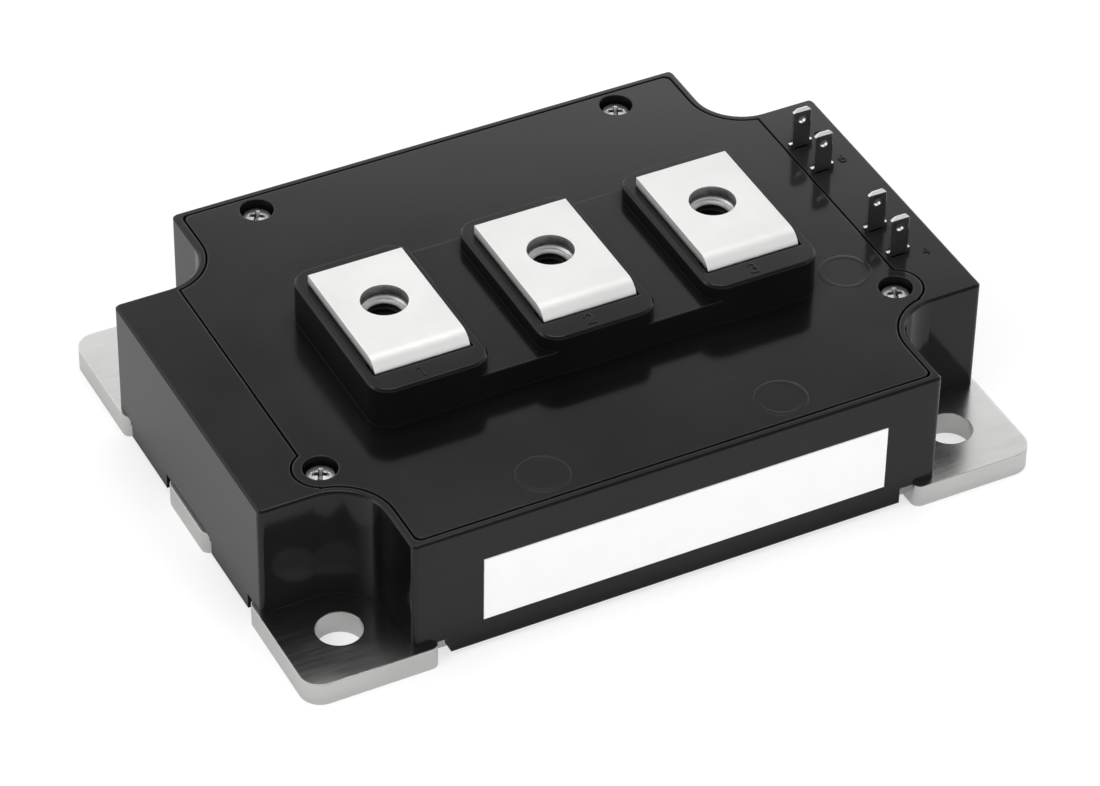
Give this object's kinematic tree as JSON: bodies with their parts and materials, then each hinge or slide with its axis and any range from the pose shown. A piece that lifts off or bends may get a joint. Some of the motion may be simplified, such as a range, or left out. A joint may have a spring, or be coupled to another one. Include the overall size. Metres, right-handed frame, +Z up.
{
  "type": "igbt module",
  "caption": "Flat half-bridge power module: plated base plate with mounting ears, black moulded case and lid, screw terminals on raised blocks, upright signal tabs.",
  "frame": {"origin": "centre of the base plate's underside", "axes": "+X along the length, towards the signal tabs; -Y towards the side with the blank label; +Z up, out of the terminals"},
  "size_m": [0.11, 0.08, 0.029],
  "materials": {
    "plating": "nickel-plated copper, glossy",
    "case": "black moulded plastic, soft gloss",
    "screw": "zinc-plated steel",
    "nut": "zinc-plated steel",
    "terminal": "nickel-plated copper, satin",
    "tab": "plated brass, bright",
    "copper": "bare copper",
    "ceramic": "white fired ceramic",
    "silicon": "silicon die",
    "wire": "drawn aluminium wire",
    "label": "blank white film"
  },
  "bodies": {
    "root": {"base_plate": "plating", "case_frame": "case", "lid": "case", "lid_screw_1": "screw", "lid_screw_2": "screw", "lid_screw_3": "screw", "lid_screw_4": "screw", "terminal_nut_1": "nut", "terminal_nut_2": "nut", "terminal_nut_3": "nut", "main_terminal_1": "terminal", "main_terminal_2": "terminal", "main_terminal_3": "terminal", "signal_tab_1": "tab", "signal_tab_2": "tab", "signal_tab_3": "tab", "signal_tab_4": "tab", "bottom_copper_left": "copper", "bottom_copper_right": "copper", "ceramic_left": "ceramic", "ceramic_right": "ceramic", "tracks_left": "copper", "tracks_right": "copper", "igbt_chip_1": "silicon", "igbt_chip_2": "silicon", "igbt_chip_3": "silicon", "igbt_chip_4": "silicon", "diode_chip_1": "silicon", "diode_chip_2": "silicon", "diode_chip_3": "silicon", "diode_chip_4": "silicon", "bond_wires_left": "wire", "bond_wires_right": "wire", "signal_wires": "wire", "label": "label"}
  },
  "joints": []
}
